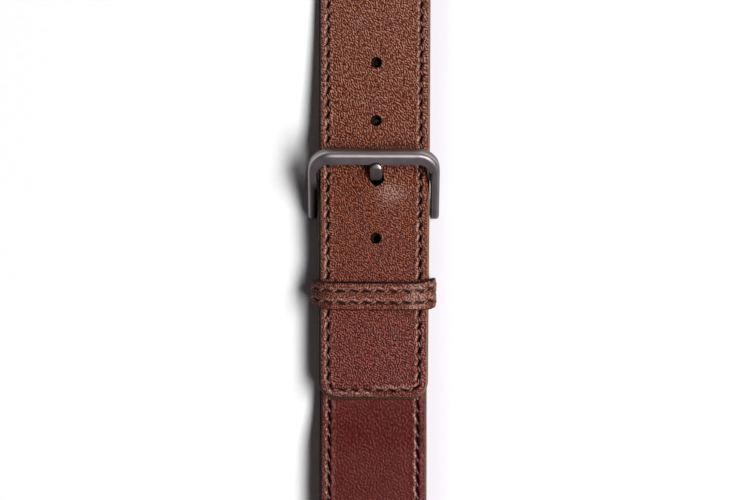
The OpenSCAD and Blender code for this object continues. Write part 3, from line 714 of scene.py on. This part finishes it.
def keeperPiece(name, material, nodeName, slotName, inside, outside, stitched):
    inLoop, outLoop = keeperLoop(inside), keeperLoop(outside)
    wide = keeper["wide"] / 2
    ends = [(0.0, 0.35), (0.0, 0.62), (0.03, 0.78), (0.09, 0.9), (0.18, 0.97)]
    ends += [(d, 1.0) for d in (0.3, 0.45, 0.6, 0.75, 0.88, 0.98, 1.08, 1.18, 1.28, 1.38, 1.48, 1.58, 1.7,
                                1.85, 2.05)]
    section = [(d - wide, f) for d, f in ends] + [(0, 1.0)] + [(wide - d, f) for d, f in ends[::-1]]
    section += [(wide, 0.12), (wide - 0.12, 0.0), (0.0, 0.0), (0.12 - wide, 0.0), (-wide, 0.12)]
    k, j = [v.ravel() for v in np.meshgrid(np.arange(len(outLoop)), np.arange(len(section)), indexing="ij")]
    y, level = np.array(section)[j].T
    x, z, outX, outZ = outLoop[k].T
    inset, near = wide - np.abs(y), y > 0  # near is the side towards the buckle
    on = (level > 0.99) * float(stitched)
    rise, seamAndShade, paintedSheen = seamRelief(inset, keeperRun(outLoop)[k], on, np.where(near, -1, 1),
                                 np.where(near, *keeper["seamInset"][::-1]), keeper["pitch"])
    # a painted sheen towards the keeper's right end
    paintedSheen = keeper["paintedSheen"] * np.maximum(paintedSheen, bell((x - 7.5) / 1.4) * (z > 6) * on)
    # painted shade on both ends of the keeper
    gloom = np.maximum(keeper["leftShade"] * smooth((-6.2 - x) / 2.8),
                       keeper["rightShade"] * smooth((x - 8.8) / 1.0))
    corner = near * bell((x - 10.0) / 0.4) * smooth((0.95 - inset) / 0.3) * (z > 3)
    gloom = np.maximum(gloom, keeper["cornerShade"] * corner)  # painted shade where the loop's dark inside shows
    # the edge paint reaches further in on the buckle's side, as painted contact shadow
    rim = np.where(near, *keeper["rim"][::-1])
    x = inLoop[k, 0] + (x - inLoop[k, 0]) * level + outX * rise * keeper["relief"]
    z = inLoop[k, 1] + (z - inLoop[k, 1]) * level + outZ * rise * keeper["relief"]
    if not stitched:  # the lining's inside leaves room for the seams that it slides over
        z += (1 - level) * (keeper["roomAbove"] * smooth((z - 4.5) / 0.8)
                            - keeper["roomBelow"] * smooth((1.8 - z) / 0.6))
    points = np.stack([x, keeperY(x, y), np.maximum(keeperZ(x, z), 0)], 1)
    marks = dict(seamAndShade=np.maximum(seamAndShade, gloom * stitched), paintedSheen=paintedSheen, edge=smooth((rim - inset) / 0.2))
    piece = meshPiece(name, points, tubeFaces(len(outLoop), len(section), closed=True), material, marks=marks)
    settle(piece, "keeper", slotName, nodeName)


keeperPiece("keeperOuter", keeperLeather, "keeper_outer", "upper_leather", keeper["lining"], keeperOut, True)
keeperPiece("keeperLining", liningLeather, "keeper_lining", "lining_leather", 0.0, keeper["lining"], False)
print("keeper ready")


# stitches
def threadMaterial():
    material, tree, shader = newMaterial("sewingThread")
    place = placeOf(tree)
    fibre, slow = noiseOf(tree, place, 3600.0), noiseOf(tree, place, 500.0)
    colour = rampOf(tree, timesPlus(tree, slow, 0.5, sumOf(tree, "MULTIPLY", fibre, 0.5)),
                    [(0.35, tone(112, 78, 66)), (0.55, tone(146, 108, 94)), (0.75, tone(200, 160, 146))])
    plug(tree, shader, {"Base Color": colour, "Roughness": rangeOf(tree, slow, 0.3, 0.7, 0.5, 0.65),
                        "Normal": bumpOf(tree, fibre, 0.6, 0.00005)})
    return material


threadLook = {"Stitch length": 1.05 * mm, "Thread width": 0.25 * mm, "Slant": 0.42,
              "Material": threadMaterial()}
keeperThreadLook = {**threadLook, "Thread width": 0.26 * mm, "Slant": 0.52}
threadSink, threadShift, seamRest, threadLow = 0.13, 0.09, 4.2, 0.14


def stitchTree():
    keys = ["Geometry", "Stitch length", "Thread width", "Slant", "Material"]
    tree, given, out = newGroup("stitchRow", keys, ["Geometry"], "GeometryNodeTree")
    curve = addNode(tree, "GeometryNodeMeshToCurve", {"Mesh": given["Geometry"]})[0]
    curve = addNode(tree, "GeometryNodeSetCurveNormal", {"Curve": curve}, mode="Z_UP")[0]
    spots = addNode(tree, "GeometryNodeCurveToPoints", {"Curve": curve}, mode="EVALUATED")
    bead = addNode(tree, "GeometryNodeMeshUVSphere", {"Segments": 8, "Rings": 7, "Radius": 0.5})[0]
    size = vectorOf(tree, {0: given["Thread width"], 1: given["Thread width"], 2: given["Stitch length"]})
    bead = addNode(tree, "GeometryNodeTransform", {"Geometry": bead, "Scale": size})[0]
    bead = addNode(tree, "GeometryNodeSetShadeSmooth", {"Geometry": bead})[0]
    placed = addNode(tree, "GeometryNodeInstanceOnPoints", {"Points": spots["Points"], "Instance": bead,
                                                            "Rotation": spots["Rotation"]})[0]
    lean = vectorOf(tree, {1: sumOf(tree, "MULTIPLY", given["Slant"], -1.0)})
    placed = addNode(tree, "GeometryNodeRotateInstances", {"Instances": placed, "Rotation": lean})[0]
    solid = addNode(tree, "GeometryNodeRealizeInstances", {"Geometry": placed})[0]
    done = addNode(tree, "GeometryNodeSetMaterial", {"Geometry": solid, "Material": given["Material"]})[0]
    plug(tree, out, {"Geometry": done})
    return tree


stitchRow = stitchTree()


def sewRows(name, rows, body, slotName, look):
    edges, first = [], 0
    for row in rows:
        edges += [(k, k + 1) for k in range(first, first + len(row) - 1)]
        first += len(row)
    mesh = bpy.data.meshes.new(name + "Path")
    mesh.from_pydata((np.vstack(rows) * mm).tolist(), edges, [])
    path = addObject(name + "Path", mesh)
    modifier = path.modifiers.new("stitches", "NODES")
    modifier.node_group = stitchRow
    for item in stitchRow.interface.items_tree:
        if item.in_out == "INPUT" and item.name in look:
            modifier[item.identifier] = look[item.name]
    done = shownMesh(path)
    done.name = name
    bpy.data.objects.remove(path)
    print(name, len(done.polygons), "faces")
    settle(addObject(name, done), body, slotName)


def sideStitches(track, side, first, last, before=0.0):  # one spot for each stitch along a straight side
    pitch = seamLook["pitch"]
    s = pitch * np.arange(ceil((before + first) / pitch), floor((before + last) / pitch) + 1)
    w = np.interp(s - before, track["run"], track["way"])
    outer, inner = alongTrack(track, w)
    spot = outer - unit(outer - inner) * threadSink
    x = side * (np.interp(w, track["way"], track["half"]) - seamLook["inset"]) + threadShift
    return np.stack([x, spot[:, 0] - middleY, spot[:, 1]], 1)


def tipStitches(track, side):  # from the middle of the tip, round its corner
    corner, r = form["tipCorner"], form["tipCorner"] - seamLook["inset"]
    flat = track["half"][0] - corner
    run = flat + pi / 2 * r
    s = seamLook["pitch"] * np.arange(side < 0, int(run / seamLook["pitch"]) + 1)
    a = pi / 2 - np.maximum(0, s - flat) / r
    x, y = side * (np.minimum(s, flat) + r * np.cos(a)), tailEnd + corner - r * np.sin(a)
    return np.stack([x, y - middleY, np.full(len(s), track["outer"][0, 1] - threadSink)], 1), run


sewn = []
lastRun = np.interp(lugEnd - seamRest, trackLong["way"], trackLong["run"])
for side in (-1, 1):
    tipSpots, tipRun = tipStitches(trackLong, side)
    sewn.append(np.vstack([tipSpots, sideStitches(trackLong, side, 0, lastRun, tipRun)]))
    sewn.append(sideStitches(trackShort, side, topStart + 4.0, topEnd - seamRest))
sewRows("strapThread", sewn, "strap", "upper_leather_dark", threadLook)

sewn = []
loop = keeperLoop(keeperOut - 0.10)
run, pitch = keeperRun(loop), keeper["pitch"]
order = np.argsort(run)
s = pitch * np.arange(ceil(run.min() / pitch), int(run.max() / pitch) + 1)
x, z = [np.interp(s, run[order], loop[order, k]) for k in (0, 1)]
for side, inset in zip((-1, 1), keeper["seamInset"]):
    y = keeperY(x, side * (keeper["wide"] / 2 - inset))
    sewn.append(np.stack([x, y, np.maximum(keeperZ(x, z), threadLow)], 1))
sewRows("keeperThread", sewn, "keeper", "upper_leather", keeperThreadLook)
print("stitches ready")


# the buckle
def metalWearGroup():
    tree, given, out = newGroup("metalWear", ["Vector", "Rough"], ["Roughness", "Height", "Smudge"])
    place = given["Vector"]
    stretched = addNode(tree, "ShaderNodeVectorMath", {0: place, 1: (500.0, 9000.0, 9000.0)},
                        operation="MULTIPLY")[0]
    smudge, pits = noiseOf(tree, place, 420.0, 3.0), noiseOf(tree, place, 5200.0)
    scratch = noiseOf(tree, stretched, 1.0)
    rough = timesPlus(tree, sumOf(tree, "SUBTRACT", smudge, 0.5), 0.12, given["Rough"])
    rough = timesPlus(tree, sumOf(tree, "SUBTRACT", scratch, 0.5), 0.05, rough, clamp=True)
    height = sumOf(tree, "ADD", scratch, sumOf(tree, "MULTIPLY", pits, 0.6))
    plug(tree, out, {"Roughness": rough, "Height": height, "Smudge": smudge})
    return tree


wearGroup = metalWearGroup()


def metalFinish(name, dark, light, wornAndLit, rough, bump):
    material, tree, shader = newMaterial(name)
    wearAndHighlight = addNode(tree, "ShaderNodeGroup", {"Vector": placeOf(tree), "Rough": rough}, node_tree=wearGroup)
    # the wear mark lays the pale tone as partly worn metal and partly painted highlight; the grime mark lays
    # near-black painted shade
    rubbedAndHighlit, paintedShade = markOf(tree, "wearAndHighlight"), markOf(tree, "paintedShade")
    colour = blendOf(tree, rangeOf(tree, wearAndHighlight["Smudge"], 0.3, 0.7), tone(*dark), tone(*light))
    colour = blendOf(tree, paintedShade, blendOf(tree, rubbedAndHighlit, colour, tone(*wornAndLit)), tone(16, 12, 12))
    plug(tree, shader, {"Base Color": colour, "Metallic": 1.0,
                        "Roughness": timesPlus(tree, rubbedAndHighlit, -0.12, wearAndHighlight["Roughness"]),
                        "Normal": bumpOf(tree, wearAndHighlight["Height"], bump, 0.00002)})
    return material


# the near-white tones are the colour of the painted highlights and worn edges
gunmetal = metalFinish("gunmetal", (107, 96, 99), (118, 107, 110), (252, 242, 240), 0.45, 0.08)
tongueSteel = metalFinish("tongueSteel", (104, 100, 98), (122, 117, 112), (235, 232, 230), 0.45, 0.3)
barSteel = metalFinish("barSteel", (176, 174, 172), (200, 198, 196), (220, 218, 216), 0.28, 0.1)
springWire = metalFinish("springWire", (150, 148, 146), (186, 184, 182), (220, 218, 216), 0.3, 0.1)


def frameOutline(outerSide, inset):  # from the left arm's end round the outer bar to the right arm's end
    half, radius = [buckle[key + ("Out" if outerSide else "In")] for key in ("arm", "corner")]
    end = buckle["opening"] + buckle["bar"] * outerSide
    away = -inset if outerSide else inset
    cx, cu, r = half - radius, end - radius, radius + away

    def corner(middle, start, stop):
        return [(middle + r * cos(a), cu + r * sin(a)) for a in np.linspace(start, stop, 17)]

    return ([(-half - away, u) for u in np.linspace(0, cu, 24)[:-1]] + corner(-cx, pi, pi / 2)
            + [(x, end + away) for x in np.linspace(-cx, cx, 34)[1:-1]] + corner(cx, pi / 2, 0)
            + [(half + away, u) for u in np.linspace(cu, 0, 24)[1:]])


def cutWith(piece, cutters):
    for cutter in cutters:
        modifier = piece.modifiers.new("cut", "BOOLEAN")
        modifier.object, modifier.operation, modifier.solver = cutter, "DIFFERENCE", "EXACT"
    done = shownMesh(piece)
    piece.modifiers.clear()
    piece.data = done
    for cutter in cutters:
        bpy.data.objects.remove(cutter)


def cutterPiece(name, low, high):  # a plain prism between two outlines in the buckle's plane
    n = len(low)
    faces = [list(range(n))[::-1], list(range(n, 2 * n))] + tubeFaces(2, n)
    return meshPiece(name, [inBuckle(*spot) for spot in low + high], faces, gunmetal)


# bends count from 0 at the frame's side to 90 at its upper face; a line of wear and painted highlight has its
# bend, width and strength; side is the painted light on the outer bar's side face, and the rest place the
# painted shade on the arms
frameWearAndLight = dict(ridge=(55, 22, 1), leftArm=(26, 17, 0.20), rightArm=(50, 34, 0.04), side=0.34, innerShadeIn=0.24,
                innerShadeEnd=1.5, leftDeep=1.45, leftEnd=7.4)


def frameMarks(x, along, v):
    thick, fillet = buckle["thick"] / 2, buckle["fillet"]
    bend = np.degrees(np.arcsin(np.clip((v - thick + fillet) / fillet, 0, 1)))
    bar, ends = smooth((along - 9.5) / 2.0), smooth((np.abs(x) - 6.2) / 2.8)

    def wornAndLit(key):
        middle, width, strong = frameWearAndLight[key]
        return strong * bell((bend - middle) / width)

    # painted highlights along the ridge, the arms' fillets and the outer bar's side, partly worn metal
    arms = np.where(x < 0, wornAndLit("leftArm"), wornAndLit("rightArm")) * np.maximum(1 - bar, ends)
    side = frameWearAndLight["side"] * smooth((30 - bend) / 20) * (v > thick - fillet - 0.6) * bar
    wearAndHighlight = np.maximum(np.maximum(wornAndLit("ridge") * bar * (1 - 0.9 * ends), arms), side)
    # painted shade on the arms' inner faces, and a painted shadow of the strap over the left arm
    deep = np.abs(x) - buckle["armIn"]
    paintedShade = smooth((frameWearAndLight["innerShadeIn"] - deep) / 0.16) * (along < buckle["opening"] - frameWearAndLight["innerShadeEnd"])
    shade = smooth((frameWearAndLight["leftDeep"] - deep) / 1.1) * smooth((frameWearAndLight["leftEnd"] - along) / 2.4)
    return dict(wearAndHighlight=wearAndHighlight, paintedShade=np.maximum(paintedShade, (x < 0) * shade))


def buckleFrame():
    thick, fillet, pivot = buckle["thick"] / 2, buckle["fillet"], buckle["pivotHole"]
    quarter = np.linspace(0, pi / 2, 9)
    outside = [(0.10, -thick), (0.03, 0.03 - thick), (0.0, 0.10 - thick), (0.0, -0.3)]
    outside += [(fillet * (1 - cos(a)), thick - fillet * (1 - sin(a))) for a in quarter]
    outside.append((fillet + 0.35, thick))
    inside = [(0.32, thick), (0.22, thick), (0.14, thick - 0.03), (0.05, thick - 0.10), (0.0, thick - 0.24),
              (0.0, 0.0), (0.0, 0.16 - thick), (0.05, 0.05 - thick), (0.16, -thick)]

    def armEnd(x, turn, v):  # the arms' ends are rounded
        return [(x + turn * (1 - cos(a)), -thick * sin(a), v * cos(a)) for a in quarter[1:]]

    def tapered(x, u):  # the right arm lies over the strap's edge next to the bar
        return x - buckle["taper"] * smooth((u - buckle["taperFrom"]) / buckle["taperRun"]) * (x > 9)

    columns = []
    for section, pinch in ((outside, buckle["endPinch"]), (inside, -buckle["endPinch"])):
        for inset, v in section:
            outline = frameOutline(section is outside, inset)
            ends = armEnd(outline[0][0], pinch, v), armEnd(outline[-1][0], -pinch, v)
            if section is inside:
                outline = [(tapered(x, u), u) for x, u in outline]
            columns.append(ends[0][::-1] + [(x, u, v) for x, u in outline] + ends[1])
    points = [inBuckle(*spot) for ring in zip(*columns) for spot in ring]
    piece = meshPiece("buckleFrame", points, tubeFaces(len(columns[0]), len(columns)), gunmetal, sharp=40)
    r, centre = tongue["wide"] / 2 + buckle["notchGap"], tongue["tip"] - tongue["wide"] / 2
    notch = [(holeSide + r * cos(a), centre + r * sin(a)) for a in np.linspace(0, pi, 33)]
    notch += [(holeSide - r, 5.0), (holeSide + r, 5.0)]
    ring = [(pivot * cos(a), pivot * sin(a)) for a in np.linspace(0, 2 * pi, 33)[:-1]]
    cutWith(piece, [
        cutterPiece("notchCutter", *[[(x, u, v) for x, u in notch] for v in (buckle["notchFloor"], 3)]),
        cutterPiece("pivotCutter", *[[(side * 13, u, v) for u, v in ring] for side in (-1, 1)])])
    piece.data.set_sharp_from_angle(angle=radians(35))
    spots = np.empty(len(piece.data.vertices) * 3)
    piece.data.vertices.foreach_get("co", spots)
    x, y, z = spots.reshape(-1, 3).T / mm + np.array([[0], [middleY], [-barZ]])
    addMarks(piece.data, frameMarks(x, z * tiltSin + y * tiltCos, z * tiltCos - y * tiltSin))
    settle(piece, "buckle", "gunmetal", "buckle_frame")


def buckleTongue():
    half, thick = tongue["wide"] / 2, tongue["thick"] / 2
    tipCentre = tongue["tip"] - half
    us = [*np.linspace(tongue["start"], tipCentre, 40),
          *[tipCentre + half * sin(a) for a in np.linspace(0, pi / 2, 14)[1:]]]
    turns = np.linspace(0, 2 * pi, 29)[:-1]
    points, wearAndHighlight, paintedShade = [], [], []
    for u in us:
        past = max(0.0, u - tipCentre) / half
        wide, high = half * sqrt(max(0.0, 1 - past ** 2)), thick * (1 - 0.55 * past ** 2.2)
        middle = float(tongueLine(u)) - thick * 0.25 * past ** 2
        for a in turns:
            c, s = cos(a), sin(a)
            points.append(inBuckle(holeSide + wide * copysign(abs(c) ** tongue["side"], c), u,
                                   middle + high * copysign(abs(s) ** tongue["top"], s)))
            # a painted highlight on the tip's upper rim, and painted shade where the tongue sinks into the
            # slot
            wearAndHighlight.append(0.9 * bell((degrees(a) - 42) / 26) * smooth((u - tipCentre - 0.1) / 0.5))
            paintedShade.append(smooth((7.42 + 0.16 * c + 0.42 * c * c - u) / 0.35))
    faces = tubeFaces(len(us), len(turns)) + [list(range(len(turns)))]
    first = len(points)
    section = [(0.12 - half, 1), (half - 0.12, 1), (half - 0.03, 0.9), (half, 0.75), (half, 0.2),
               (half - 0.12, 0), (0.12 - half, 0), (-half, 0.2), (-half, 0.75), (0.03 - half, 0.9)]
    for a in np.linspace(0, 2 * pi, 49)[:-1]:  # the eye round the bar
        for x, f in section:
            r = tongue["eyeIn"] + (tongue["eyeOut"] - tongue["eyeIn"]) * f
            points.append(inBuckle(holeSide + x, r * cos(a), r * sin(a)))
    faces += tubeFaces(48, len(section), first, closed=True)
    plain = [0.0] * (len(points) - first)
    piece = meshPiece("buckleTongue", points, faces, tongueSteel, sharp=40,
                      marks=dict(wearAndHighlight=wearAndHighlight + plain, paintedShade=paintedShade + plain))
    settle(piece, "tongue", "gunmetal", "tongue")


buckleFrame()
buckleTongue()
for nodeName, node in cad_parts.items():
    if "bar_" in nodeName:
        node.data.materials.clear()
        node.data.materials.append(springWire if nodeName.endswith("spring") else barSteel)
print("buckle ready")

# table, light and camera, in metres and degrees; a painted shade in the floor's colour lies along the strap's
# right side
stage = dict(size=3.0, drop=0.00002, key=119.0, keyWide=1.0, keyLong=2.6, keyHigh=58, keyTurn=-11,
             keyAway=3.0, fill=(0.040, 0.037, 0.042, 1), shade=(0.865, 0.84, 0.895, 1),
             shadeIn=(0.0085, 0.009), shadeOut=(0.0098, 0.0158), shadeEnd=(0.074, 0.088))
cameraLook = dict(lens=123.12, sensor=36, place=(0.00023, -0.01104, 0.450), turn=0.2, clip=(0.01, 20))


def floorMaterial():
    material, tree, shader = newMaterial("paperFloor")
    place = placeOf(tree)
    speck = noiseOf(tree, place, 900.0)
    tint = blendOf(tree, rangeOf(tree, speck, 0.2, 0.8), (0.985, 0.985, 0.99, 1), (1.0, 1.0, 1.0, 1))
    across, along, up = partsOf(tree, place)
    # painted shade along the strap's right side, fading towards the strap's ends
    near = sumOf(tree, "MULTIPLY", rangeOf(tree, across, *stage["shadeIn"]),
                 rangeOf(tree, across, *stage["shadeOut"], 1.0, 0.0))
    along = rangeOf(tree, sumOf(tree, "ABSOLUTE", along), *stage["shadeEnd"], 1.0, 0.0)
    tint = blendOf(tree, sumOf(tree, "MULTIPLY", near, along), tint, stage["shade"])
    plug(tree, shader, {"Base Color": tint, "Roughness": 0.9, "Specular IOR Level": 0.0})
    return material


def layFloor():
    r = stage["size"]
    mesh = bpy.data.meshes.new("floor")
    mesh.from_pydata([(-r, -r, 0), (r, -r, 0), (r, r, 0), (-r, r, 0)], [], [(0, 1, 2, 3)])
    mesh.materials.append(floorMaterial())
    table = addObject("floor", mesh)
    table.location.z = -stage["drop"]


def lightScene():
    lamp = bpy.data.lights.new("key", "AREA")
    lamp.shape, lamp.size, lamp.size_y = "RECTANGLE", stage["keyWide"], stage["keyLong"]
    lamp.energy = stage["key"]
    lean, turn = radians(90 - stage["keyHigh"]), radians(stage["keyTurn"])
    out, up = stage["keyAway"] * sin(lean), stage["keyAway"] * cos(lean)
    key = addObject("key", lamp)
    key.rotation_euler, key.location = (0, lean, turn), (out * cos(turn), out * sin(turn), up)
    world = bpy.data.worlds.new("studio")
    scene.world = world
    world.use_nodes = True
    tree = world.node_tree
    height = partsOf(tree, placeOf(tree, "Generated"))[2]
    studio = rampOf(tree, height, [(0.0, (0.42, 0.42, 0.43, 1)), (0.5, (0.26, 0.26, 0.27, 1)),
                                   (0.8, (0.12, 0.12, 0.12, 1)), (1.0, (0.07, 0.07, 0.07, 1))])
    rays = addNode(tree, "ShaderNodeLightPath")
    fill = blendOf(tree, rays["Is Glossy Ray"], stage["fill"], studio)
    seen = blendOf(tree, rays["Is Camera Ray"], fill, (1, 1, 1, 1))
    plug(tree, tree.nodes["Background"], {0: seen, 1: 1.0})


def placeCamera():
    data = bpy.data.cameras.new("camera")
    data.lens, data.sensor_width = cameraLook["lens"], cameraLook["sensor"]
    data.clip_start, data.clip_end = cameraLook["clip"]
    camera = addObject("camera", data)
    camera.location = cameraLook["place"]
    camera.rotation_euler = (0, 0, radians(cameraLook["turn"]))
    scene.camera = camera


layFloor()
lightScene()
placeCamera()
scene.view_settings.view_transform = "Standard"
print("scene ready")
